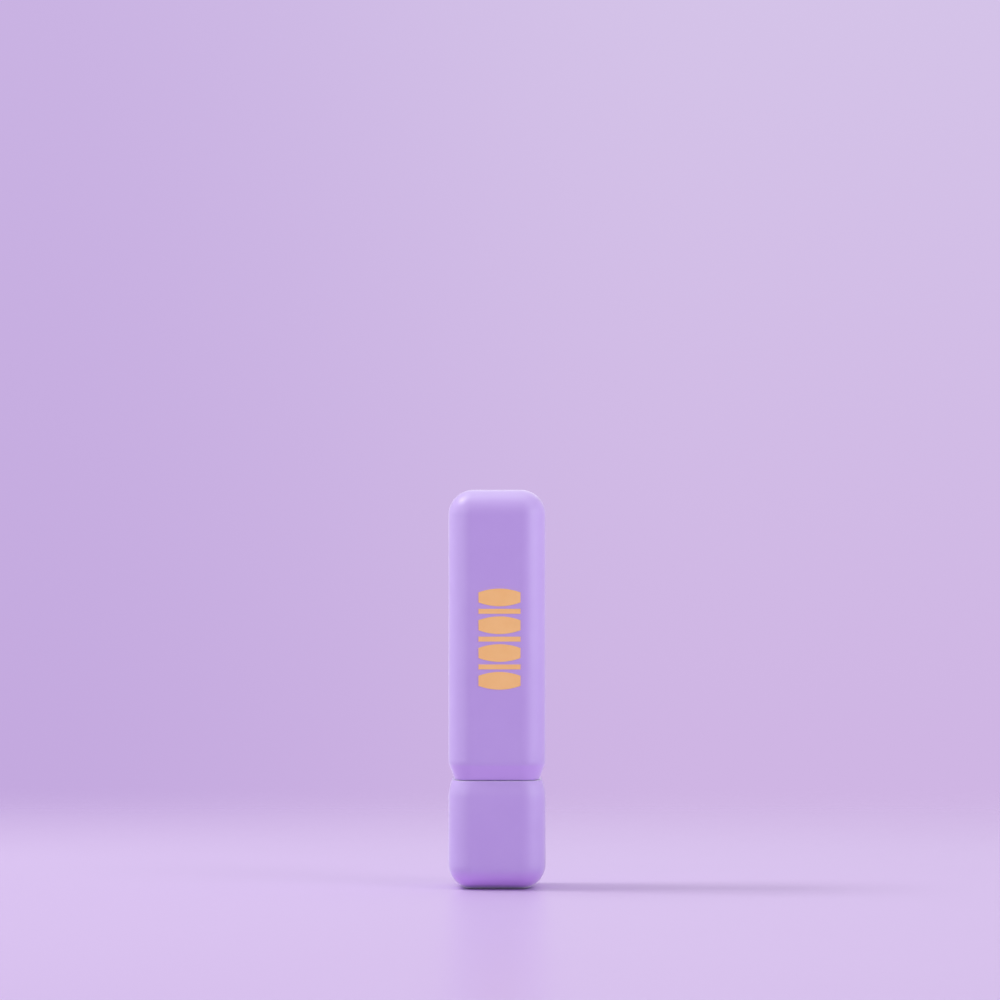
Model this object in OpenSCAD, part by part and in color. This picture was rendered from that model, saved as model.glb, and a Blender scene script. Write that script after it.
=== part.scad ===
// A closed lip balm stick: a square case with round corners, a pull-off cap and a twist base.
// Sizes are in millimetres. The origin is the middle of the foot, +Z points up,
// and the printed face of the cap looks along -Y.

/* [Case] */
// Width and depth of the square case
case_w = 19.5; // [17:0.1:24]
// Height of the closed case
case_h = 80; // [74:0.5:90]
// Height of the base, from the foot to its upper rim
base_h = 21.8; // [20:0.1:25]
// Rounding of the upright corners and of the top and bottom edges
corner_r = 5; // [4.4:0.1:5.6]
// Wall of the cap shell and the base shell
wall = 2; // [1.8:0.05:2.1]
// Thickness of the base shell's floor
floor_t = 2.6; // [2.4:0.1:3]
// Thickness of the cap shell's top
crown_t = 2.6; // [2.4:0.1:3]

/* [Seam] */
// Shadow gap between the rims of the cap and the base
seam_gap = 0.15; // [0.15:0.05:0.4]
// Height of the taper at the cap's mouth
taper_h = 3.3; // [2.6:0.1:4]
// How far the taper draws the cap's mouth in
taper_in = 1.25; // [0.8:0.05:1.4]
// Rounding where the taper leaves the cap's flat faces
taper_blend_r = 3.4; // [1:0.1:6]
// Height of the round shoulder at the top of the base
shoulder_h = 3.4; // [3:0.1:5]
// How far the shoulder draws the base's rim in
shoulder_in = 0.8; // [0.6:0.05:1.3]
// Rounding of the two rims at the seam
rim_r = 0.1; // [0.1:0.05:0.3]

/* [Print] */
// Height of the printed column of beads and bars
print_h = 20.2; // [16:0.2:24]
// Number of printed beads in the column, with a bar between each two
print_beads = 4; // [3:1:5]
// Height of a printed bead's blunt ends
print_end_h = 2; // [1:0.1:2.2]
// Height of a printed bar
print_bar_h = 1; // [0.6:0.1:1.2]
// Bare gap between a printed bead and a bar
print_gap = 0.5; // [0.4:0.05:0.7]
// Distance from the top of the case to the middle of the print
print_drop = 29.8; // [24:0.2:34]
// Sideways place of the print on the front face
print_x = 0.5; // [0:0.1:1]
// Bare strip between the print and the rounding of the corner beside it
print_edge = 0.05; // [0:0.05:0.5]
// Thickness of the ink
ink_t = 0.08; // [0.04:0.02:0.16]

/* [Cap liner and base insert] */
// Clearance of the insert and the liner in the square shells
slip_gap = 0.1; // [0.05:0.01:0.15]
// Wall of the insert and of the liner, at the middle of a flat side
insert_wall = 0.6; // [0.4:0.05:1]
// Height of the insert's spigot above the base's rim
spigot_h = 2.5; // [2:0.1:4]
// Rounding that leads the cap onto the spigot
spigot_r = 0.4; // [0.2:0.1:0.6]
// Thickness of the ledge that carries the mechanism
ledge_t = 2; // [1.5:0.1:3]
// Diameter of the hole in the ledge
ledge_hole_d = 8; // [6:0.5:9]
// Thickness of the liner's closed top
liner_top_t = 0.6; // [0.4:0.05:1]
// Height of the liner's square collar
collar_h = 3; // [2:0.5:6]

/* [Twist mechanism] */
// How far the stick winds up
travel = 26; // [20:0.5:28]
// Rise of the stick in one turn
lead = 13; // [11:0.5:16]
// Room left between the raised stick and the top of the liner
tip_room = 2; // [1:0.1:4]
// Slope of the cut across the stick's tip, in degrees
slant = 35; // [20:1:45]
// Rounding around the stick's tip
tip_r = 1.2; // [0.5:0.1:2]
// Wall of the carrier cup
cup_wall = 0.45; // [0.35:0.05:0.5]
// Height of the carrier cup
cup_h = 12; // [9:0.5:14]
// Thickness of the cup's floor
cup_floor = 1.6; // [1:0.1:2.4]
// Height of the lugs above the bottom of the cup
lug_h = 1.4; // [1:0.1:2]
// Diameter of the cup's two lugs
lug_d = 1.5; // [1:0.1:1.6]
// Wall of the slotted guide sleeve
guide_wall = 0.6; // [0.5:0.05:0.7]
// How far the guide sleeve stands above the neck
guide_rise = 3; // [2:0.5:5]
// Height of the guide sleeve's foot
foot_h = 6; // [4:0.5:8]
// Wall of the spiral sleeve
spiral_wall = 0.8; // [0.7:0.05:0.85]
// Depth of the spiral tracks
track_depth = 0.55; // [0.4:0.05:0.6]
// Solid length of spiral sleeve below the lowest place of the lugs
track_end = 2; // [1.6:0.1:3]
// Wall of the neck sleeve
neck_wall = 0.6; // [0.4:0.05:0.65]
// Thickness of the neck sleeve's turned-in lip
lip_t = 0.8; // [0.5:0.1:1.2]
// Rounding of the neck sleeve's upper edge
neck_edge_r = 0.4; // [0.2:0.1:0.5]
// Height of the guide's snap bead
bead_h = 0.6; // [0.4:0.1:1]
// How far the snap bead stands out
bead_t = 0.25; // [0.15:0.05:0.3]

/* [Clearances] */
// Radial clearance where one sleeve turns or slides in another
run_gap = 0.05; // [0.03:0.01:0.06]
// Radial clearance of a pressed or cast-in fit
press_gap = 0.03; // [0.01:0.01:0.04]
// Clearance beside the lugs, in the slots and the tracks
lug_side_gap = 0.12; // [0.08:0.01:0.2]
// Clearance between the end of a lug and the floor of its track
lug_tip_gap = 0.2; // [0.15:0.05:0.25]
// Clearance between parts that pass or face each other end to end
end_gap = 0.3; // [0.2:0.05:0.5]
// Clearance of the drag ring on both its sides
ring_gap = 0.02; // [0.01:0.01:0.04]

/* [Hidden] */
$fn = 96;

// Lengthens a cut so that it runs past the face that it opens
past = 1;

// Shells
cavity_w = case_w - 2 * wall;
cavity_r = corner_r - wall;
mouth_z = base_h + seam_gap;
cap_top_in = case_h - crown_t;
shoulder_r = (shoulder_h * shoulder_h + shoulder_in * shoulder_in) / (2 * shoulder_in);

// Square pieces that fit in the shells
insert_w = cavity_w - 2 * slip_gap;
insert_r = cavity_r - slip_gap;

// Radii of the mechanism, from the insert inwards: the balm has what the walls leave
bore_r = insert_w / 2 - insert_wall;
foot_r = bore_r - press_gap;
neck_or = bore_r - run_gap;
neck_ir = neck_or - neck_wall;
spiral_or = neck_ir - press_gap;
spiral_ir = spiral_or - spiral_wall;
track_r = spiral_ir + track_depth;
lug_tip = track_r - lug_tip_gap;
guide_or = spiral_ir - run_gap;
guide_ir = guide_or - guide_wall;
cup_or = guide_ir - run_gap;
cup_ir = cup_or - cup_wall;
stick_r = cup_ir - press_gap;
lip_ir = guide_or + bead_t + 2 * run_gap;
ring_r = (neck_ir - guide_or) / 2 - ring_gap;
ring_path_r = (neck_ir + guide_or) / 2;

// Heights of the mechanism, from the foot upwards
spigot_top = base_h + spigot_h;
ledge_z = floor_t + ledge_t;
foot_top = ledge_z + foot_h;
neck_z = foot_top + end_gap;
spiral_z = foot_top + 2 * ring_r + end_gap;
lug_z = spiral_z + track_end;
cup_z = lug_z - lug_h;
cup_top = cup_z + cup_h;
guide_top = cup_top + travel + end_gap;
neck_top = guide_top - guide_rise;
bead_top = neck_top - lip_t - end_gap / 2;
spiral_top = bead_top - bead_h - end_gap / 2;
liner_top_in = cap_top_in - liner_top_t;
stick_z = cup_z + cup_floor;
stick_top = liner_top_in - tip_room - travel;

// Spiral tracks
lug_room = lug_d + 2 * lug_side_gap;
turn_deg = 360 * travel / lead;
// Angle between two rings of a track's cutter, and how far it runs on past the lug's two limits
ring_step = 12;
track_over = 12;
track_rings = ceil((turn_deg + 2 * track_over) / ring_step);
track_rise = lug_room / cos(atan(lead / (2 * PI * spiral_ir)));

// Print
flat_w = case_w - 2 * corner_r;
print_w = flat_w - 2 * (print_x + print_edge);
print_z = case_h - print_drop;
print_bead_h = (print_h - (print_beads - 1) * (print_bar_h + 2 * print_gap)) / print_beads;
print_rise = (print_bead_h - print_end_h) / 2;
print_arc_r = (print_w * print_w / 4 + print_rise * print_rise) / (2 * print_rise);

// What comes off the convex corner b between a and c, to leave a true arc of radius r.
module corner_waste(a, b, c, r) {
    u = (a - b) / norm(a - b);
    v = (c - b) / norm(c - b);
    half = acos(u * v) / 2;
    reach = r / tan(half);
    inward = (u + v) / norm(u + v);
    difference() {
        polygon([b, b + reach * u, b + reach * v]);
        translate(b + r / sin(half) * inward)
            circle(r);
    }
}

// A block with a square plan w wide and upright corners of radius r, from z to z + h.
// The child is its corner profile: x runs from the corner's axis outwards to r, y is the height.
module square_block(w, r, z, h) {
    half = w / 2 - r;
    for (side = [0:3])
        rotate([0, 0, 90 * side])
            translate([half, half, 0]) {
                rotate_extrude(angle = 90)
                    children();
                rotate([90, 0, 0])
                    linear_extrude(2 * half)
                        children();
            }
    translate([-half, -half, z])
        cube([2 * half, 2 * half, h]);
}

// The same block with plain straight sides.
module plain_block(w, r, z, h) {
    square_block(w, r, z, h)
        translate([0, z])
            square([r, h]);
}

// A round tube from z to z + h.
module tube(outer_r, inner_r, z, h) {
    translate([0, 0, z])
        difference() {
            cylinder(r = outer_r, h = h);
            translate([0, 0, -past])
                cylinder(r = inner_r, h = h + 2 * past);
        }
}

// Corner profile of the cap: a round top edge, and a straight taper blended in at the mouth.
module cap_profile() {
    top = [corner_r, case_h];
    knee = [corner_r, mouth_z + taper_h];
    rim = [corner_r - taper_in, mouth_z];
    difference() {
        translate([0, mouth_z])
            square([corner_r, case_h - mouth_z]);
        polygon([knee, rim, [corner_r + past, mouth_z]]);
        corner_waste([0, case_h], top, knee, corner_r);
        corner_waste(top, knee, rim, taper_blend_r);
        corner_waste(knee, rim, [0, mouth_z], rim_r);
    }
}

// Corner profile of the base: a round bottom edge and a long round shoulder below the rim.
module base_profile() {
    foot = [corner_r, 0];
    arc_c = [corner_r - shoulder_r, base_h - shoulder_h];
    rim = [corner_r - shoulder_in, base_h];
    slope = asin(shoulder_h / shoulder_r);
    difference() {
        square([corner_r, base_h]);
        difference() {
            translate([rim.x, arc_c.y])
                square([shoulder_in + past, shoulder_h + past]);
            translate(arc_c)
                circle(shoulder_r, $fn = 360);
        }
        corner_waste([0, 0], foot, [corner_r, base_h], corner_r);
        corner_waste([0, base_h], rim, rim + [sin(slope), -cos(slope)], rim_r);
    }
}

// Outer shell of the cap, one moulding open at the mouth.
module cap_shell() {
    color("#ad8fd7")
        difference() {
            square_block(case_w, corner_r, mouth_z, case_h - mouth_z)
                cap_profile();
            plain_block(cavity_w, cavity_r, mouth_z - past, cap_top_in - mouth_z + past);
        }
}

// Inner liner of the cap: a closed round tube that slides on the neck, with a square collar.
module cap_liner() {
    color("#d8c8ee")
        difference() {
            union() {
                plain_block(insert_w, insert_r, spigot_top, collar_h);
                translate([0, 0, spigot_top])
                    cylinder(d = insert_w, h = cap_top_in - spigot_top);
            }
            translate([0, 0, spigot_top - past])
                cylinder(r = bore_r, h = liner_top_in - spigot_top + past);
        }
}

// One printed bead: two equal arcs close over blunt ends.
module print_bead() {
    intersection() {
        square([print_w, print_bead_h], center = true);
        intersection_for(side = [-1, 1])
            translate([0, side * (print_bead_h / 2 - print_arc_r)])
                circle(print_arc_r, $fn = 360);
    }
}

// Raised ink on the front face of the cap: beads one above the other, with a bar between each two.
module cap_print() {
    pitch = print_bead_h + print_bar_h + 2 * print_gap;
    first_z = print_z - (print_h - print_bead_h) / 2;
    color("#ebaa78")
        translate([print_x, -case_w / 2, first_z])
            rotate([90, 0, 0])
                linear_extrude(ink_t) {
                    for (i = [0 : print_beads - 1])
                        translate([0, i * pitch])
                            print_bead();
                    for (i = [1 : print_beads - 1])
                        translate([0, (i - 0.5) * pitch])
                            square([print_w, print_bar_h], center = true);
                }
}

// Outer shell of the base, one moulding open at the top.
module base_shell() {
    color("#ad8fd7")
        difference() {
            square_block(case_w, corner_r, 0, base_h)
                base_profile();
            plain_block(cavity_w, cavity_r, floor_t, base_h - floor_t + past);
        }
}

// Insert of the base: it holds the mechanism, and its square spigot lines up the cap.
module base_insert() {
    color("#a98bd4")
        difference() {
            square_block(insert_w, insert_r, floor_t, spigot_top - floor_t)
                difference() {
                    translate([0, floor_t])
                        square([insert_r, spigot_top - floor_t]);
                    corner_waste([0, spigot_top], [insert_r, spigot_top], [insert_r, 0], spigot_r);
                }
            translate([0, 0, ledge_z])
                cylinder(r = bore_r, h = spigot_top);
            translate([0, 0, floor_t - past])
                cylinder(d = ledge_hole_d, h = ledge_t + 2 * past);
        }
}

// An upright slot with round ends through both walls of the guide, for the lugs.
module lug_slot() {
    reach = foot_r + past;
    for (z = [lug_z, lug_z + travel])
        translate([-reach, 0, z])
            rotate([0, 90, 0])
                cylinder(d = lug_room, h = 2 * reach);
    translate([-reach, -lug_room / 2, lug_z])
        cube([2 * reach, lug_room, travel]);
}

// Slotted guide sleeve: pressed into the insert, it keeps the cup from turning.
module guide_sleeve() {
    color("#f2eef2")
        difference() {
            union() {
                translate([0, 0, ledge_z])
                    cylinder(r = guide_or, h = guide_top - ledge_z);
                translate([0, 0, ledge_z])
                    cylinder(r = foot_r, h = foot_h);
                translate([0, 0, bead_top - bead_h])
                    cylinder(r = guide_or + bead_t, h = bead_h);
            }
            translate([0, 0, ledge_z - past])
                cylinder(r = guide_ir, h = guide_top - ledge_z + 2 * past);
            lug_slot();
        }
}

// Soft ring between the guide and the neck, which gives the twist its drag.
module drag_ring() {
    color("#e4e0e8")
        translate([0, 0, foot_top + ring_r])
            rotate_extrude()
                translate([ring_path_r, 0])
                    circle(ring_r, $fn = 32);
}

// Neck sleeve: the thin drawn shell that shows when the cap is off.
module neck_sleeve() {
    edge = [neck_or, neck_top];
    color("#c9c6d2")
        rotate_extrude()
            difference() {
                union() {
                    translate([neck_ir, neck_z])
                        square([neck_wall, neck_top - neck_z]);
                    translate([lip_ir, neck_top - lip_t])
                        square([neck_or - lip_ir, lip_t]);
                }
                corner_waste([lip_ir, neck_top], edge, [neck_or, neck_z], neck_edge_r);
            }
}

// A cutter that climbs one spiral track from the angle start, with four corners to a ring.
module track_cutter(start) {
    low_r = guide_ir;
    rings = [
        for (i = [0 : track_rings])
            let (
                turn = -track_over + (turn_deg + 2 * track_over) * i / track_rings,
                z = lug_z + lead * turn / 360,
                way = [cos(start + turn), sin(start + turn)]
            )
            for (corner = [[low_r, -1], [track_r, -1], [track_r, 1], [low_r, 1]])
                [way.x * corner[0], way.y * corner[0], z + corner[1] * track_rise / 2]
    ];
    last = 4 * track_rings;
    sides = [
        for (i = [0 : track_rings - 1], k = [0:3])
            let (a = 4 * i + k, b = 4 * i + (k + 1) % 4)
            each [[a, b, b + 4], [a, b + 4, a + 4]]
    ];
    ends = [[0, 3, 2], [0, 2, 1], [last, last + 1, last + 2], [last, last + 2, last + 3]];
    polyhedron(points = rings, faces = concat(sides, ends));
}

// Spiral sleeve: it turns with the neck, and its two tracks drive the lugs up.
module spiral_sleeve() {
    color("#f5f3f5")
        difference() {
            tube(spiral_or, spiral_ir, spiral_z, spiral_top - spiral_z);
            for (start = [0, 180])
                track_cutter(start);
        }
}

// Carrier cup: it holds the foot of the stick and slides in the guide on its two lugs.
module carrier_cup() {
    color("#faf8fa")
        difference() {
            union() {
                translate([0, 0, cup_z])
                    cylinder(r = cup_or, h = cup_h);
                translate([-lug_tip, 0, lug_z])
                    rotate([0, 90, 0])
                        cylinder(d = lug_d, h = 2 * lug_tip);
            }
            translate([0, 0, stick_z])
                cylinder(r = cup_ir, h = cup_h);
        }
}

// The balm: a cast stick with a rounded tip that is cut at a slant towards the front.
module balm_stick() {
    edge = [stick_r, stick_top];
    color("#c96f78")
        difference() {
            rotate_extrude()
                difference() {
                    translate([0, stick_z])
                        square([stick_r, stick_top - stick_z]);
                    corner_waste([0, stick_top], edge, [stick_r, stick_z], tip_r);
                }
            translate([0, stick_r / 3, stick_top])
                rotate([slant, 0, 0])
                    translate([-2 * stick_r, -4 * stick_r, 0])
                        cube([4 * stick_r, 4 * stick_r, 2 * stick_r]);
        }
}

cap_shell();
cap_liner();
cap_print();
base_shell();
base_insert();
guide_sleeve();
drag_ring();
neck_sleeve();
spiral_sleeve();
carrier_cup();
balm_stick();
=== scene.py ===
# %% [markdown]
# # A square lip balm stick
# The real object is a closed lip balm stick, 19.5 mm square and 80 mm tall, moulded in lavender plastic.
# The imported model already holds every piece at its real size, so it comes first and stays fixed. This
# lesson then remakes the pieces that show best, gives each surface the finish that its real material
# has, and lights the stick as a small product is lit in a studio.

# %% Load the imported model
import math

import bmesh
import bpy
from mathutils import Matrix, Vector


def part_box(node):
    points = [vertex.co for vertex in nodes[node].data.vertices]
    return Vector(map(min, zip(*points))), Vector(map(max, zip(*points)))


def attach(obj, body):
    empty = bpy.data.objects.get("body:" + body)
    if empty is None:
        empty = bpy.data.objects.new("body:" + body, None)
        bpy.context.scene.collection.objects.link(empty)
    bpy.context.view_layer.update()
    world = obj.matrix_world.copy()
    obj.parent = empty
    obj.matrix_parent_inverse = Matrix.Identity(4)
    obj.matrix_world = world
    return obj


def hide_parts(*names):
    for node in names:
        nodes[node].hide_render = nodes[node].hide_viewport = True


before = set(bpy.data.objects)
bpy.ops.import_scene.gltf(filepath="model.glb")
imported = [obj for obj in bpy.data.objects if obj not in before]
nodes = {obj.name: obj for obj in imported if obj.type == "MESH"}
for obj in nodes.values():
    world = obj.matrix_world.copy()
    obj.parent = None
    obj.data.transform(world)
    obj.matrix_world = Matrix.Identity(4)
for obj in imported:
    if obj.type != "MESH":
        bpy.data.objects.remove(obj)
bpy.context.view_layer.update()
MM = 0.001
print("nodes:", ", ".join(sorted(nodes)))

# %% [markdown]
# ## Small helpers for modelling
# Every new piece starts as a primitive and is shaped in edit mode. An operator works on whatever is
# selected, so a piece is always opened with nothing selected, and its faces or edges are then picked
# by where they are or which way they look. With that in short functions, each later step reads like
# the hand moves that it stands for.

# %% Open, pick and extrude
SAME = 0.01 * MM
FLAT = 0.999


def open_piece(piece, kind):
    """Opens a piece in edit mode with nothing selected; kind is VERT, EDGE or FACE."""
    bpy.ops.object.select_all(action="DESELECT")
    bpy.context.view_layer.objects.active = piece
    piece.select_set(True)
    bpy.ops.object.mode_set(mode="EDIT")
    bpy.ops.mesh.select_mode(type=kind)
    bpy.ops.mesh.select_all(action="DESELECT")


def pick_edges(piece, wanted):
    """Selects the edges whose two ends pass the test together."""
    mesh = bmesh.from_edit_mesh(piece.data)
    for edge in mesh.edges:
        if wanted(edge.verts[0].co, edge.verts[1].co):
            edge.select_set(True)
    bmesh.update_edit_mesh(piece.data)


def pick_faces(piece, wanted):
    """Selects the faces whose middle and normal pass the test."""
    mesh = bmesh.from_edit_mesh(piece.data)
    for face in mesh.faces:
        if wanted(face.calc_center_median(), face.normal):
            face.select_set(True)
    bmesh.update_edit_mesh(piece.data)


def near(a, b):
    """True if two lengths agree to a hundredth of a millimetre."""
    return abs(a - b) < SAME


def pick_end(piece, side):
    """Selects nothing but the flat end face that looks up, or down if the side is -1."""
    bpy.ops.mesh.select_mode(type="FACE")
    bpy.ops.mesh.select_all(action="DESELECT")
    pick_faces(piece, lambda middle, normal: normal.z * side > FLAT)


def extrude(rise):
    """Extrudes the selected faces straight up, or down if the rise is negative."""
    bpy.ops.mesh.extrude_region_move(TRANSFORM_OT_translate={"value": (0, 0, rise)})


# %% [markdown]
# A moulded piece has broad flat faces beside small roundings. Plain smooth shading would bend the
# light across the flats. Weighted normals let the big faces win, so flats stay flat and the roundings
# flow into them, as on a moulding from a polished tool. Edges that turn by more than 40 degrees stay
# sharp.

# %% Finish a piece
SHARP_ANGLE = math.radians(40)


def finish_piece(piece, body, node):
    """Shades a piece like a moulding, and hands it over to the model."""
    bpy.ops.object.mode_set(mode="OBJECT")
    bpy.ops.object.shade_smooth_by_angle(angle=SHARP_ANGLE)
    bpy.ops.object.modifier_add(type="WEIGHTED_NORMAL")
    piece.modifiers[-1].keep_sharp = True
    bpy.ops.object.modifier_apply(modifier=piece.modifiers[-1].name)
    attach(piece, body)
    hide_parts(node)
    size = [round(c / MM, 2) for c in piece.dimensions]
    print(piece.name, "replaces", node, "faces:", len(piece.data.polygons), "size in mm:", size)


# %% [markdown]
# ## The two shells
# The cap and the base are each one ABS moulding: a square block with 5 mm roundings on its upright
# corners and its closed end, hollow inside. Subdividing a cube would round it too, but at no sure
# radius. A cube with those edges bevelled gives the form exactly, also the ball shape at the corners.
# The open end is made by insetting the end face again and again along the real profile, first over
# the taper, then round the rim, and at last down into the cavity. Insets keep every ring parallel, so
# the wall is the same all round, which is how a moulded wall is.

# %% Sizes of the shells
CORNER_R = 5 * MM
CORNER_STEPS = 24
WALL = 2 * MM
END_WALL = 2.6 * MM
RIM_R = 0.1 * MM
RIM_STEPS = 5
MOUTH_EDGE = 0.15 * MM

cap_low, cap_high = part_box("cap_shell")
base_low, base_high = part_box("base_shell")
print("cap from", round(cap_low.z / MM, 2), "to", round(cap_high.z / MM, 2), "mm above the foot")
print("seam in mm:", round((cap_low.z - base_high.z) / MM, 2))


# %% A rounded corner in a profile
def round_corner(before, corner, after, radius, steps):
    """Points of the arc that rounds one corner of a profile."""
    back = (before - corner).normalized()
    on = (after - corner).normalized()
    half = back.angle(on) / 2
    centre = corner + (back + on).normalized() * radius / math.sin(half)
    start = corner + back * radius / math.tan(half) - centre
    side = 1 if back.x * on.y - back.y * on.x < 0 else -1
    turn = side * (math.pi - 2 * half)
    return [centre + Matrix.Rotation(turn * i / steps, 2) @ start for i in range(steps + 1)]


def follow(profile):
    """Insets the selected end face along a profile of points: how far in, and at what height."""
    for a, b in zip(profile, profile[1:]):
        bpy.ops.mesh.inset(thickness=b.x - a.x, depth=0, use_even_offset=True)
        bpy.ops.transform.translate(value=(0, 0, b.y - a.y))


# %% A block with rounded edges
def add_rounded_block(name, low, high, closed_z):
    """Adds a block whose upright edges and edges at the height closed_z are rounded."""
    bpy.ops.object.select_all(action="DESELECT")
    bpy.ops.mesh.primitive_cube_add(size=1, location=(low + high) / 2, scale=high - low)
    block = bpy.context.object
    block.name = block.data.name = name
    bpy.ops.object.transform_apply(location=True, rotation=False, scale=True)
    open_piece(block, "EDGE")
    pick_edges(block, lambda a, b: not near(a.z, b.z) or near(a.z, closed_z) and near(b.z, closed_z))
    bpy.ops.mesh.bevel(offset=CORNER_R, offset_type="OFFSET", segments=CORNER_STEPS, affect="EDGES")
    return block


# %% [markdown]
# The cap narrows at its mouth with a straight taper, blended softly into the flat faces, and ends in
# a thin crisp rim. In the photo this taper is the first sign that the stick opens there. A bevel can't
# make it, because the blend at its knee and the round of its rim have different radii, so the profile
# is laid out as points and followed.

# %% Model the cap
TAPER_H = 3.3 * MM
TAPER_IN = 1.25 * MM
TAPER_BLEND_R = 3.4 * MM
TAPER_STEPS = 8

knee = Vector((0, cap_low.z + TAPER_H))
rim = Vector((TAPER_IN, cap_low.z))
blend = round_corner(Vector((0, cap_high.z)), knee, rim, TAPER_BLEND_R, TAPER_STEPS)
lip = round_corner(knee, rim, Vector((WALL, cap_low.z)), RIM_R, RIM_STEPS)
mouth = [Vector((WALL - MOUTH_EDGE, cap_low.z)), Vector((WALL, cap_low.z + MOUTH_EDGE))]

cap = add_rounded_block("cap_moulding", Vector((cap_low.x, cap_low.y, blend[0].y)), cap_high, cap_high.z)
pick_end(cap, -1)
follow(blend + lip + mouth)
extrude(cap_high.z - END_WALL - mouth[-1].y)
finish_piece(cap, "cap", "cap_shell")

# %% [markdown]
# The base is the same block upside down. Its upper end has no taper: it curves in over a long round
# shoulder, so the seam between the two sits in a soft groove. The shoulder is part of one circle,
# which its height and its draw-in settle.

# %% Model the base
SHOULDER_H = 3.4 * MM
SHOULDER_IN = 0.8 * MM
SHOULDER_STEPS = 12

shoulder_r = (SHOULDER_H**2 + SHOULDER_IN**2) / (2 * SHOULDER_IN)
shoulder_z = base_high.z - SHOULDER_H
reach = math.asin((SHOULDER_H - RIM_R) / shoulder_r)
shoulder = []
for step in range(SHOULDER_STEPS + 1):
    angle = reach * step / SHOULDER_STEPS
    across = shoulder_r * (1 - math.cos(angle))
    shoulder.append(Vector((across, shoulder_z + shoulder_r * math.sin(angle))))
brim = Vector((SHOULDER_IN, base_high.z))
lip = round_corner(shoulder[-2], brim, Vector((WALL, base_high.z)), RIM_R, RIM_STEPS)
mouth = [Vector((WALL - MOUTH_EDGE, base_high.z)), Vector((WALL, base_high.z - MOUTH_EDGE))]

block_high = Vector((base_high.x, base_high.y, shoulder_z))
base = add_rounded_block("base_moulding", base_low, block_high, base_low.z)
pick_end(base, 1)
follow(shoulder[:-1] + lip + mouth)
extrude(base_low.z + END_WALL - mouth[-1].y)
finish_piece(base, "base", "base_shell")

# %% [markdown]
# ## The neck
# With the cap off, a thin aluminium tube shows. It is drawn from sheet and its upper edge is turned
# in over the works. A profile spun round the axis would give it too, but from a cylinder each step is
# one move: its top edge is bevelled to the bend, the top face is inset to the lip, and the inside is
# drawn down from there, wider under the lip. The bottom is opened by taking out both end faces and
# bridging the two rings that stay.

# %% Sizes of the neck
NECK_WALL = 0.6 * MM
NECK_EDGE_R = 0.4 * MM
NECK_EDGE_STEPS = 6
LIP_T = 0.8 * MM
LIP_REACH = 1.13 * MM
LIP_EDGE = 0.1 * MM
ROUND_STEPS = 128

neck_low, neck_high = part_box("neck_sleeve")
neck_r = neck_high.x
print("neck:", round(2 * neck_r / MM, 2), "mm across,", round((neck_high.z - neck_low.z) / MM, 2), "mm long")


# %% Helpers for round pieces
def add_cylinder(name, radius, low_z, high_z):
    """Adds a closed upright cylinder, with its place in its mesh."""
    bpy.ops.object.select_all(action="DESELECT")
    bpy.ops.mesh.primitive_cylinder_add(
        vertices=ROUND_STEPS, radius=radius, depth=high_z - low_z, location=(0, 0, (low_z + high_z) / 2)
    )
    cylinder = bpy.context.object
    cylinder.name = cylinder.data.name = name
    bpy.ops.object.transform_apply(location=True, rotation=False, scale=False)
    return cylinder


def pick_ring(piece, height):
    """Selects the edges that lie level at one height."""
    pick_edges(piece, lambda a, b: near(a.z, height) and near(b.z, height))


# %% Model the neck
neck = add_cylinder("neck_tube", neck_r, neck_low.z, neck_high.z)
open_piece(neck, "EDGE")
pick_ring(neck, neck_high.z)
bpy.ops.mesh.bevel(offset=NECK_EDGE_R, offset_type="OFFSET", segments=NECK_EDGE_STEPS, affect="EDGES")
pick_end(neck, 1)
bpy.ops.mesh.inset(thickness=LIP_REACH - NECK_EDGE_R - LIP_EDGE, use_even_offset=True)
bpy.ops.mesh.inset(thickness=LIP_EDGE, depth=0, use_even_offset=True)
bpy.ops.transform.translate(value=(0, 0, -LIP_EDGE))
extrude(LIP_EDGE - LIP_T)
extrude(0)
widen = (neck_r - NECK_WALL) / (neck_r - LIP_REACH)
bpy.ops.transform.resize(value=(widen, widen, 1), center_override=(0, 0, 0))
extrude(neck_low.z + LIP_T - neck_high.z)
bpy.ops.mesh.delete(type="ONLY_FACE")
pick_faces(neck, lambda middle, normal: normal.z < -FLAT and near(middle.z, neck_low.z))
bpy.ops.mesh.delete(type="ONLY_FACE")
bpy.ops.mesh.select_mode(type="EDGE")
pick_ring(neck, neck_low.z)
bpy.ops.mesh.bridge_edge_loops()
finish_piece(neck, "neck", "neck_sleeve")

# %% [markdown]
# ## The balm
# The balm is poured warm into a mould, so it is one smooth bar with a slanted tip and no sharp edge.
# Bevels fold up where a slanted rim meets a crease, so the bar is made straight first, with a round
# rim and a top face in many fine rings. A lattice then presses the slant into it: the cage's upper
# points sink along the wanted profile, flat at the back, round over the crease and straight down to
# the front, and the bar follows them.

# %% Model the straight bar
TIP_R = 0.9 * MM
TIP_STEPS = 10
TIP_RING = 0.3 * MM

balm_low, balm_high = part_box("balm_stick")
balm_r = balm_high.x

balm = add_cylinder("balm_bar", balm_r, balm_low.z, balm_high.z - TIP_R)
open_piece(balm, "FACE")
pick_end(balm, 1)
bar_foot = Vector((0, balm_low.z))
bar_edge = Vector((0, balm_high.z))
bar_middle = Vector((balm_r, balm_high.z))
follow(round_corner(bar_foot, bar_edge, bar_middle, TIP_R, TIP_STEPS))
for ring in range(int((balm_r - TIP_R) / TIP_RING) - 1):
    bpy.ops.mesh.inset(thickness=TIP_RING, depth=0, use_even_offset=True)
bpy.ops.object.mode_set(mode="OBJECT")
print("rings on the tip:", ring + 1, "faces:", len(balm.data.polygons))

# %% The profile of the slant
SLANT = math.radians(35)

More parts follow.
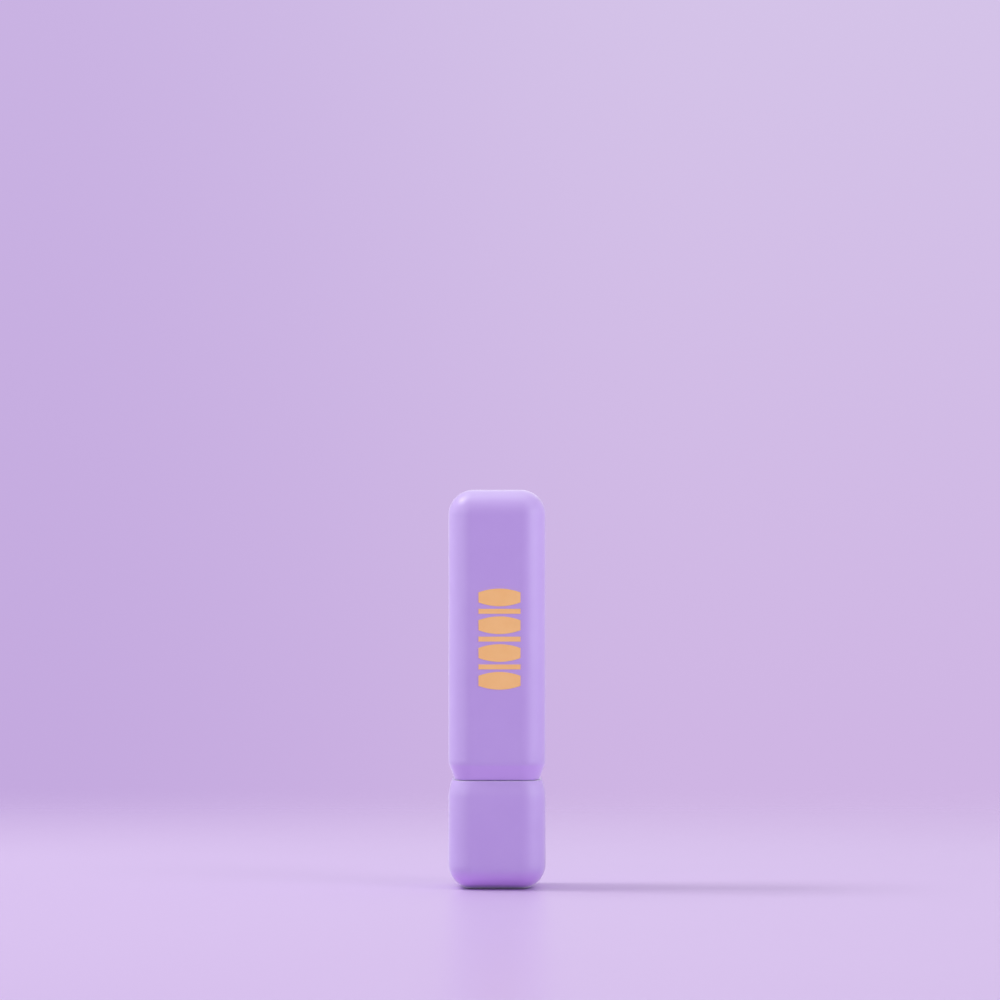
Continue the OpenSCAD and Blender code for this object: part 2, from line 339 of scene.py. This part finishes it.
crease_y = balm_r / 3
crease_r = TIP_R / math.tan(SLANT / 2)
flat_y = crease_y + TIP_R
slant_y = flat_y - crease_r * math.sin(SLANT)


def sunk(y):
    """How far the tip lies below its highest level at a place from back to front."""
    curved = min(max(flat_y - y, 0), crease_r * math.sin(SLANT))
    return crease_r - math.sqrt(crease_r**2 - curved**2) + max(slant_y - y, 0) * math.tan(SLANT)


print("the front edge sinks by", round(sunk(-balm_r) / MM, 2), "mm")

# %% Press the slant into the bar
CAGE_H = 12 * MM
CAGE_ROWS = 49

bpy.ops.object.add(type="LATTICE", location=(0, 0, balm_high.z - CAGE_H / 2))
cage = bpy.context.object
cage.scale = (2 * balm_r, 2 * balm_r, CAGE_H)
cage.data.points_v = CAGE_ROWS
cage.data.interpolation_type_v = cage.data.interpolation_type_w = "KEY_LINEAR"
for point in cage.data.points:
    if point.co.z > 0:
        point.co_deform.z -= sunk(point.co.y * 2 * balm_r) / CAGE_H
bpy.ops.object.select_all(action="DESELECT")
balm.select_set(True)
bpy.context.view_layer.objects.active = balm
bpy.ops.object.modifier_add(type="LATTICE")
balm.modifiers[-1].object = cage
bpy.ops.object.modifier_apply(modifier=balm.modifiers[-1].name)
bpy.data.objects.remove(cage)
finish_piece(balm, "stick", "balm_stick")

# %% [markdown]
# ## Building materials
# A material is a small graph: texture nodes feed the shader. Colours are picked as sRGB hex values,
# as in any paint program, and one function turns them into the linear light that the shader counts in.
# A second function adds a node with its settings and links. The others name the few moves that every
# finish is made of, such as noise of a real size or a bump of a real depth, so a whole material reads
# as a few lines.


# %% Colour and node helpers
def hex_colour(code):
    """Turns an sRGB hex colour into linear red, green, blue and alpha."""
    values = [int(code[i : i + 2], 16) / 255 for i in (1, 3, 5)]
    return [v / 12.92 if v <= 0.04045 else ((v + 0.055) / 1.055) ** 2.4 for v in values] + [1]


def add(tree, kind, inputs, **settings):
    """Adds a shader node. An input is a plain value, or an output socket to link from."""
    made = tree.nodes.new("ShaderNode" + kind)
    for name, value in settings.items():
        setattr(made, name, value)
    for name, value in inputs.items():
        if isinstance(value, bpy.types.NodeSocket):
            tree.links.new(value, made.inputs[name])
        else:
            made.inputs[name].default_value = value
    return made


print("mid grey in linear light:", round(hex_colour("#808080")[0], 3))


# %% The moves that every finish shares
NOISE_SPAN = (0.3, 0.7)


def noise(tree, place, size, detail):
    """Adds noise with patches of a real size in metres, and returns its value."""
    inputs = {"Vector": place, "Scale": 1 / size, "Detail": detail}
    return add(tree, "TexNoise", inputs).outputs["Fac"]


def mix_colours(tree, share, first, second):
    """Adds a mix of two colours, each a hex code or a socket, and returns it."""
    pair = [hex_colour(c) if isinstance(c, str) else c for c in (first, second)]
    return add(tree, "MixRGB", {"Fac": share, "Color1": pair[0], "Color2": pair[1]}).outputs["Color"]


def remap(tree, value, start, end, low=0.0, high=1.0, kind="LINEAR"):
    """Maps a value from one span to another, and holds it level outside."""
    inputs = {"Value": value, "From Min": start, "From Max": end, "To Min": low, "To Max": high}
    return add(tree, "MapRange", inputs, interpolation_type=kind).outputs["Result"]


def roughness(tree, pattern, low, high):
    """Spreads the span in which most noise lies over a span of roughness."""
    return remap(tree, pattern, *NOISE_SPAN, low, high)


def bump(tree, height, strength, depth, under=None):
    """Adds a bump of a real depth in metres, laid over another bump if one is given."""
    inputs = {"Height": height, "Strength": strength, "Distance": depth}
    if under is not None:
        inputs["Normal"] = under
    return add(tree, "Bump", inputs).outputs["Normal"]


# %% Start, finish and assign a material
def new_material(name):
    """Makes an empty material, and returns its tree and the object coordinates in it."""
    material = bpy.data.materials.new(name)
    material.use_nodes = True
    tree = material.node_tree
    tree.nodes.clear()
    return material, tree, add(tree, "TexCoord", {}).outputs["Object"]


def surface(tree, inputs):
    """Adds the main shader with its inputs, and makes it the material's surface."""
    shader = add(tree, "BsdfPrincipled", inputs)
    add(tree, "OutputMaterial", {"Surface": shader.outputs[0]})


def cover(material, *pieces):
    """Gives pieces one material all over."""
    for piece in pieces:
        piece.data.materials.clear()
        piece.data.materials.append(material)
    print(material.name, "on", ", ".join(piece.name for piece in pieces))


# %% [markdown]
# ## Soft-touch coat on ABS
# The shells are moulded ABS with a sprayed soft-touch lacquer. It is matte and feels like fine skin.
# The spray leaves a shallow orange peel about 0.7 mm wide, and its fine silica grit of some hundredths
# of a millimetre scatters the shine, so highlights are broad. The grit is drawn at 0.12 mm, the finest
# that a close picture can still show, and sheen stands in for the pale bloom that it gives the edges.
# Faces that lean down get a purer violet, which is painted bounce light from the violet floor and shows most
# towards the mouth of the cap. The sole is deep violet, which is painted contact shade. The surface normal
# tells where both go, so the two painted tints follow the form.

# %% Soft-touch coat
PEEL = 0.7 * MM
PEEL_DEPTH = 0.012 * MM
GRIT = 0.12 * MM
GRIT_DEPTH = 0.004 * MM
CLOUD = 9 * MM
# Spans of the normal's upward part: painted floor bounce on faces that look down, and painted contact shade
# on the sole.
PAINTED_BOUNCE_SPAN = (-0.2, -0.85)
PAINTED_SOLE_SHADE_SPAN = (-0.78, -1.0)


def soft_touch_coat():
    material, tree, place = new_material("soft_touch_lacquer_on_abs")
    cloud = noise(tree, place, CLOUD, 3.0)
    peel = noise(tree, place, PEEL, 2.0)
    grit = noise(tree, place, GRIT, 2.0)
    normal = add(tree, "NewGeometry", {}).outputs["Normal"]
    upward = add(tree, "SeparateXYZ", {"Vector": normal}).outputs["Z"]
    full = mix_colours(tree, cloud, "#b598d8", "#bba0dc")
    # Painted light: a purer violet on faces that look down stands in for floor bounce, and deep violet on
    # the sole is painted contact shade.
    bounce_painted = mix_colours(tree, remap(tree, upward, *PAINTED_BOUNCE_SPAN), full, "#cc95ef")
    tone_with_painted_light = mix_colours(tree, remap(tree, upward, *PAINTED_SOLE_SHADE_SPAN), bounce_painted, "#6c2ca6")
    peeled = bump(tree, peel, 0.35, PEEL_DEPTH)
    surface(tree, {
        "Base Color": tone_with_painted_light,
        "Roughness": roughness(tree, grit, 0.36, 0.46),
        "Normal": bump(tree, grit, 0.4, GRIT_DEPTH, peeled),
        "IOR": 1.55,
        "Sheen Weight": 0.85,
        "Sheen Roughness": 0.4,
    })
    return material


cover(soft_touch_coat(), cap, base)

# %% [markdown]
# ## Screen-printed ink
# The motif is screen print: thick ink pushed through a mesh by a squeegee drawn across the stick. The
# mesh leaves a grain of 0.15 mm in its skin, and the squeegee shallow ribs 1.3 mm apart. It has a
# satin shine, close to the coat's, and its tone drifts slightly with the pressure of the squeegee. The
# ribs come from a wave texture, which draws 20 / (2 pi) bands in one unit of length at a scale of one,
# so its scale is worked out from the pitch. The print itself is a plain column of beads and bars, a
# motif used on mouldings since antiquity.

# %% Screen-printed ink
INK_DRIFT = 3 * MM
INK_GRAIN = 0.15 * MM
RIB_PITCH = 1.3195 * MM
INK_DEPTH = 0.004 * MM
BANDS_PER_UNIT = 20 / (2 * math.pi)


def screen_ink():
    material, tree, place = new_material("screen_printed_ink")
    drift = noise(tree, place, INK_DRIFT, 2.0)
    grain = noise(tree, place, INK_GRAIN, 2.0)
    waves = {"Vector": place, "Scale": 1 / (RIB_PITCH * BANDS_PER_UNIT), "Distortion": 0.0}
    ribs = add(tree, "TexWave", waves, bands_direction="X").outputs["Fac"]
    ribbed = bump(tree, ribs, 0.2, INK_DEPTH)
    surface(tree, {
        "Base Color": mix_colours(tree, drift, "#f2ba70", "#f6c57f"),
        "Roughness": roughness(tree, grain, 0.38, 0.48),
        "Normal": bump(tree, grain, 0.3, INK_DEPTH, ribbed),
        "IOR": 1.5,
    })
    return material


cover(screen_ink(), nodes["cap_print"])

# %% [markdown]
# ## Satin anodised aluminium
# The neck is drawn tube, brushed as it spins, then anodised clear. Brushing leaves fine lines that
# run round the tube, so the highlight stretches upright. The lines are made by noise squeezed along
# the tube's axis and stretched across it. Real lines are about 0.02 mm; they are drawn at 0.08 mm.

# %% Anodised aluminium
BRUSH_LINE = 0.08 * MM
BRUSH_LENGTH = 25 * MM
BRUSH_DEPTH = 0.002 * MM


def anodised_aluminium():
    material, tree, place = new_material("brushed_anodised_aluminium")
    squeeze = (1 / BRUSH_LENGTH, 1 / BRUSH_LENGTH, 1 / BRUSH_LINE)
    squeezed = add(tree, "Mapping", {"Vector": place, "Scale": squeeze}).outputs["Vector"]
    lines = noise(tree, squeezed, 1.0, 2.0)
    surface(tree, {
        "Base Color": mix_colours(tree, lines, "#c9c7cd", "#dddbe0"),
        "Roughness": roughness(tree, lines, 0.26, 0.38),
        "Normal": bump(tree, lines, 0.25, BRUSH_DEPTH),
        "Metallic": 1.0,
    })
    return material


cover(anodised_aluminium(), neck)

# %% [markdown]
# ## Bare moulded plastics
# The hidden works are moulded and left bare: ABS for the insert, polypropylene for the liner and the
# cup, acetal for the two sleeves that rub on each other, and silicone for the drag ring. They differ
# in colour, shine and how far light soaks in, but all carry the fine spark-eroded texture of their
# steel mould, about 0.2 mm wide. So one function makes them all from a short table.

# %% Moulded plastics
FLOW = 5 * MM
SPARK = 0.2 * MM
SPARK_DEPTH = 0.004 * MM
ROUGH_SPREAD = 0.05


def moulded_plastic(name, pale, deep, rough, ior, soak):
    """A bare moulded plastic: two close tones, its mean roughness, and how far light soaks in."""
    material, tree, place = new_material(name)
    flow = noise(tree, place, FLOW, 3.0)
    spark = noise(tree, place, SPARK, 1.0)
    surface(tree, {
        "Base Color": mix_colours(tree, flow, pale, deep),
        "Roughness": roughness(tree, spark, rough - ROUGH_SPREAD, rough + ROUGH_SPREAD),
        "Normal": bump(tree, spark, 0.2, SPARK_DEPTH),
        "IOR": ior,
        "Subsurface Weight": 0.3,
        "Subsurface Radius": (1.0, 1.0, 1.0),
        "Subsurface Scale": soak,
    })
    return material


# %% Cover the hidden works
PLASTICS = [
    ("moulded_abs", "#b48eea", "#ad86e4", 0.34, 1.53, 0.2 * MM, ["base_insert"]),
    ("moulded_polypropylene", "#dccff0", "#d5c6ec", 0.36, 1.49, 0.6 * MM, ["cap_liner"]),
    ("white_polypropylene", "#f3f1f4", "#eceaee", 0.34, 1.49, 0.6 * MM, ["carrier_cup"]),
    ("natural_acetal", "#f1eeea", "#e9e6e2", 0.3, 1.48, 0.4 * MM, ["guide_sleeve", "spiral_sleeve"]),
    ("moulded_silicone", "#e2dfe6", "#d9d6de", 0.42, 1.41, 0.8 * MM, ["drag_ring"]),
]
for name, pale, deep, rough, ior, soak, covered in PLASTICS:
    plastic = moulded_plastic(name, pale, deep, rough, ior, soak)
    cover(plastic, *[nodes[node] for node in covered])

# %% [markdown]
# ## Tinted wax
# The balm is a blend of waxes and oils with a rosy pigment. Light goes a millimetre or so into it and
# comes out redder, which gives wax its warm depth, so subsurface scattering carries the colour. Its
# skin has the faint waves of the cooled mould, and tiny crystals of wax make the shine uneven.

# %% Tinted wax
WAX_WAVE = 4 * MM
WAX_WAVE_DEPTH = 0.05 * MM
WAX_CRYSTAL = 0.5 * MM
WAX_CRYSTAL_DEPTH = 0.01 * MM


def tinted_wax():
    material, tree, place = new_material("tinted_wax_balm")
    wave = noise(tree, place, WAX_WAVE, 4.0)
    crystal = noise(tree, place, WAX_CRYSTAL, 3.0)
    wavy = bump(tree, wave, 0.25, WAX_WAVE_DEPTH)
    surface(tree, {
        "Base Color": mix_colours(tree, wave, "#c86f7b", "#d38790"),
        "Roughness": roughness(tree, crystal, 0.26, 0.38),
        "Normal": bump(tree, crystal, 0.3, WAX_CRYSTAL_DEPTH, wavy),
        "IOR": 1.44,
        "Subsurface Weight": 0.5,
        "Subsurface Radius": (1.0, 0.45, 0.4),
        "Subsurface Scale": 1.2 * MM,
    })
    return material


cover(tinted_wax(), balm)

# %% [markdown]
# ## The camera
# The photo looks level at the stick from about a metre away, with a long lens: the vertical sides run
# parallel and the top face can't be seen. One pixel of the 1000-pixel frame is 0.2 mm at the stick,
# and the stick stands left of and below the middle of the frame. The camera is moved sideways and up
# to match that, not turned, so the sides stay upright. The outline that it sees is where the flat
# sides pass into the front roundings, 4.75 mm before the stick's axis, so its distance counts from
# there.

# %% Camera
PHOTO_SIZE = 1000
PIXEL = 0.2007 * MM
SENSOR_MM = 36
SHOT_DISTANCE = 950 * MM
EDGE_DEPTH = cap_high.y - CORNER_R
CENTRE_COLUMN = 497
FOOT_ROW = 888.5

camera_data = bpy.data.cameras.new("studio_camera")
camera_data.sensor_width = SENSOR_MM
camera_data.lens = SENSOR_MM * SHOT_DISTANCE / (PHOTO_SIZE * PIXEL)
camera = bpy.data.objects.new("studio_camera", camera_data)
bpy.context.scene.collection.objects.link(camera)
bpy.context.scene.camera = camera
camera.location = (
    (PHOTO_SIZE / 2 - CENTRE_COLUMN) * PIXEL,
    -SHOT_DISTANCE - EDGE_DEPTH,
    (FOOT_ROW - PHOTO_SIZE / 2) * PIXEL,
)
camera.rotation_euler = (math.radians(90), 0, 0)
print("lens in mm:", round(camera_data.lens, 1), "height in mm:", round(camera.location.z / MM, 1))

# %% [markdown]
# ## The floor
# The stick stands on a pale lavender sheet, smooth enough to mirror it faintly. In the photo the floor
# passes into the wall with no edge. A swept sheet would do that, but the wall is far away and plain,
# so it is left to the world colour, and the sheet turns clear towards it instead: behind the stick
# from 60 to 340 mm, and all round from 280 to 520 mm, so no edge shows from any side.

# %% Floor sheet
FADE_START = 60 * MM
FLOOR_BACK = 340 * MM
ROUND_START = 280 * MM
ROUND_END = 520 * MM
FLOOR_SIDE = 600 * MM
FIBRE = 0.6 * MM
FIBRE_DEPTH = 0.01 * MM
PATCH = 120 * MM


def mix_shaders(tree, share, first, second):
    """Adds a mix of two shaders, and returns it."""
    mixed = add(tree, "MixShader", {"Fac": share})
    tree.links.new(first, mixed.inputs[1])
    tree.links.new(second, mixed.inputs[2])
    return mixed.outputs[0]


def pale_board():
    material, tree, place = new_material("pale_lavender_board")
    fibre = noise(tree, place, FIBRE, 2.0)
    patch = noise(tree, place, PATCH, 2.0)
    board = add(tree, "BsdfPrincipled", {
        "Base Color": mix_colours(tree, patch, "#d6bee8", "#d8c1ea"),
        "Roughness": 0.3,
        "Normal": bump(tree, fibre, 0.1, FIBRE_DEPTH),
        "IOR": 1.45,
    })
    depth = add(tree, "SeparateXYZ", {"Vector": place}).outputs["Y"]
    apart = add(tree, "VectorMath", {"Vector": place}, operation="LENGTH").outputs["Value"]
    fade = add(tree, "Math", {}, operation="MAXIMUM")
    tree.links.new(remap(tree, depth, FADE_START, FLOOR_BACK, kind="SMOOTHSTEP"), fade.inputs[0])
    tree.links.new(remap(tree, apart, ROUND_START, ROUND_END, kind="SMOOTHSTEP"), fade.inputs[1])
    clear = add(tree, "BsdfTransparent", {})
    faded = mix_shaders(tree, fade.outputs[0], board.outputs[0], clear.outputs[0])
    add(tree, "OutputMaterial", {"Surface": faded})
    return material


# %% Lay the floor
bpy.ops.object.select_all(action="DESELECT")
bpy.ops.mesh.primitive_plane_add(size=1)
floor = bpy.context.object
floor.name = "floor"
floor.scale = (2 * FLOOR_SIDE, FLOOR_SIDE + FLOOR_BACK, 1)
floor.location = (0, (FLOOR_BACK - FLOOR_SIDE) / 2, 0)
bpy.ops.object.transform_apply(location=True, rotation=False, scale=True)
cover(pale_board(), floor)

# %% [markdown]
# ## The light
# The shadows in the photo tell where the lamps are. A long one to the right comes from a large soft
# lamp on the left, about 51 degrees up and a little behind the stick. A fainter one to the left comes
# from a weaker lamp on the right, in front. A wide panel overhead brightens the round top edge, and a
# softbox high on the left makes the highlight on its corner. Four low panels, two beside the stick and
# two in front of it, draw the paler bands along its upright edges. Their tints are a pale green, which
# balances the violet that the room adds.
#
# The low panels would also shine on the floor and show in it. A photographer hides them from it with
# flags, and light linking does the same: they light all but what the flagged collection leaves out.

# %% The list of lamps
# Degrees round from the camera's side and up, metres away, metres wide, watts and tint.
LAMPS = {
    "key": (-95, 51, 1.2, 0.32, 6.1, "#f8fff4"),
    "fill": (57, 47, 1.2, 0.4, 1.8, "#ffffff"),
    "overhead": (180, 85, 1.0, 0.8, 2.7, "#ebffe0"),
    "top_left": (-107, 65, 0.9, 0.42, 1.7, "#ebffe0"),
    "left_panel": (-92, 8, 0.9, 0.7, 2.1, "#ecffe4"),
    "right_panel": (92, 8, 0.9, 0.7, 1.5, "#ecffe8"),
    "left_front": (-50, 12, 1.0, 0.6, 2.4, "#ecffe8"),
    "right_front": (58, 8, 0.9, 0.6, 3.9, "#f0fff0"),
}
print("lamps:", len(LAMPS), "with", round(sum(lamp[4] for lamp in LAMPS.values()), 1), "W in all")

# %% Flag the floor off and hang the lamps
AIM = Vector((0, 0, 40 * MM))
FLAG_BELOW = 20

flagged = bpy.data.collections.new("flagged_off")
flagged.objects.link(floor)
flagged.collection_objects[0].light_linking.link_state = "EXCLUDE"


def add_lamp(name, azimuth, height, away, size, power, tint):
    """Adds a square soft lamp that looks at the stick; azimuth 0 is the camera's side."""
    turn, lift = math.radians(azimuth), math.radians(height)
    way = Vector((math.sin(turn) * math.cos(lift), -math.cos(turn) * math.cos(lift), math.sin(lift)))
    data = bpy.data.lights.new(name, "AREA")
    data.size = size
    data.energy = power
    data.color = hex_colour(tint)[:3]
    lamp = bpy.data.objects.new(name, data)
    bpy.context.scene.collection.objects.link(lamp)
    lamp.location = AIM + way * away
    lamp.rotation_euler = (-way).to_track_quat("-Z", "Y").to_euler()
    lamp.visible_camera = False
    if height < FLAG_BELOW:
        lamp.light_linking.receiver_collection = flagged
    print(name, "lamp at", [round(c, 2) for c in lamp.location])


for lamp_name, lamp in LAMPS.items():
    add_lamp(lamp_name, *lamp)

# %% [markdown]
# ## The room
# The world does two jobs. The camera sees it as the far wall, plain lavender and a little lighter
# towards the upper right. Everything else is lit by it as by a room: the same wall behind the stick, a
# paler violet room behind the camera, and a dimmer, whiter ceiling. A real room modelled round the
# stick would cost far more time to render for the same soft light.

# %% Colours and spans of the room
WALL_LOW = ("#c4a9df", "#cfb5e4")
WALL_TOP = ("#cab3e3", "#d5c4e9")
WALL_FORCE = 0.98
FRONT_LIGHT = "#e7c7ff"
FRONT_FORCE = 0.55
CEILING_LIGHT = "#f7e9ff"
CEILING_FORCE = 0.34

# Spans of the view direction's parts, over which one colour passes into the next.
ACROSS_WALL = (-0.11, 0.05)
UP_WALL = (-0.05, 0.12)
FRONT_TO_BACK = (-0.15, 0.15)
WALL_TO_CEILING = (0.5, 0.8)
print("the wall lights the stick at", WALL_FORCE, "of what the camera sees")


# %% Build the world
def glow(tree, colour, force):
    """Adds a background light, and returns it."""
    return add(tree, "Background", {"Color": colour, "Strength": force}).outputs[0]


def build_world():
    world = bpy.data.worlds.new("studio")
    bpy.context.scene.world = world
    world.use_nodes = True
    tree = world.node_tree
    tree.nodes.clear()
    way = add(tree, "TexCoord", {}).outputs["Generated"]
    axes = add(tree, "SeparateXYZ", {"Vector": way}).outputs
    side = remap(tree, axes["X"], *ACROSS_WALL, kind="SMOOTHSTEP")
    rise = remap(tree, axes["Z"], *UP_WALL)
    low = mix_colours(tree, side, *WALL_LOW)
    top = mix_colours(tree, side, *WALL_TOP)
    wall = mix_colours(tree, rise, low, top)
    back = remap(tree, axes["Y"], *FRONT_TO_BACK, kind="SMOOTHSTEP")
    high = remap(tree, axes["Z"], *WALL_TO_CEILING, kind="SMOOTHSTEP")
    front = glow(tree, hex_colour(FRONT_LIGHT), FRONT_FORCE)
    ceiling = glow(tree, hex_colour(CEILING_LIGHT), CEILING_FORCE)
    around = mix_shaders(tree, back, front, glow(tree, wall, WALL_FORCE))
    room = mix_shaders(tree, high, around, ceiling)
    to_camera = add(tree, "LightPath", {}).outputs["Is Camera Ray"]
    add(tree, "OutputWorld", {"Surface": mix_shaders(tree, to_camera, room, glow(tree, wall, 1.0))})
    print("world nodes:", len(tree.nodes))


build_world()

# %% [markdown]
# ## The view
# The Standard view shows the colours as they were picked, where the default one would fade them. New
# meshes may not grow past the real size.

# %% Set the view
bpy.context.scene.view_settings.view_transform = "Standard"
